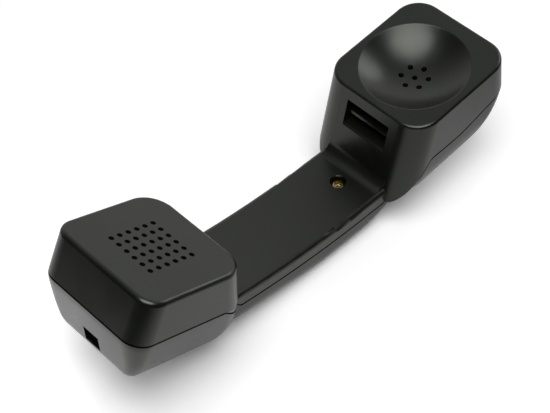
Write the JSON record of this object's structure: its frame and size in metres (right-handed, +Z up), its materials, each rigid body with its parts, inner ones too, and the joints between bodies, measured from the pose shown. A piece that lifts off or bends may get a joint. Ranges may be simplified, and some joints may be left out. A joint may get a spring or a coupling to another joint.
{
  "type": "telephone handset",
  "caption": "Corded telephone handset with two square ends on a slim handle, a domed ear cup, a mouth sound-hole grid, a hook slot and a cord jack.",
  "frame": {"origin": "on the resting surface, below the middle of the handset's box", "axes": "+X from the mouth end to the ear end, +Z up with both faces looking up, the Y = 0 plane is the symmetry plane of the shells"},
  "size_m": [0.2082, 0.0532, 0.0703],
  "materials": {
    "shell_plastic": "fine satin moulded ABS, near-black grey",
    "zinc_screw": "yellow zinc-plated steel",
    "steel": "bright steel",
    "magnet_nickel": "nickel-plated magnet",
    "aluminium": "drawn aluminium",
    "copper": "enamelled copper",
    "gold_contact": "gold-plated spring wire",
    "solder": "tin solder",
    "inner_plastic": "black moulded plastic",
    "film": "clear polyester film",
    "board": "phenolic board",
    "varistor_body": "blue epoxy",
    "rubber": "soft black rubber",
    "foam": "open-cell foam",
    "felt": "acoustic cloth",
    "lead_insulation": "PVC lead insulation"
  },
  "bodies": {
    "handset": {"front_shell": "shell_plastic", "back_shell": "shell_plastic", "shell_screw": "zinc_screw", "receiver_gasket": "foam", "receiver_plate": "aluminium", "receiver_cloth": "felt", "receiver_frame": "inner_plastic", "receiver_surround": "film", "receiver_yoke": "steel", "receiver_magnet": "magnet_nickel", "receiver_pole": "steel", "receiver_board": "board", "receiver_tags": "solder", "receiver_varistor": "varistor_body", "receiver_foam": "foam", "microphone_felt": "felt", "microphone_boot": "rubber", "microphone_capsule": "aluminium", "microphone_board": "board", "microphone_pads": "solder", "microphone_bracket": "inner_plastic", "bracket_screws": "steel", "mouth_foam": "foam", "jack_housing": "inner_plastic", "jack_contacts": "gold_contact", "jack_board": "board", "board_pads": "solder", "handle_weight": "steel", "weight_tape": "foam", "receiver_leads": "lead_insulation", "microphone_leads": "lead_insulation"},
    "diaphragm": {"receiver_diaphragm": "film", "receiver_coil": "copper"}
  },
  "joints": [
    {"name": "diaphragm_travel", "type": "slide", "parent": "handset", "child": "diaphragm", "axis": [-0.1132, 0, 0.9936], "range_m": [-0.00025, 0.00025], "stiffness_N_per_m": 100, "deforming": ["receiver_surround"]}
  ]
}
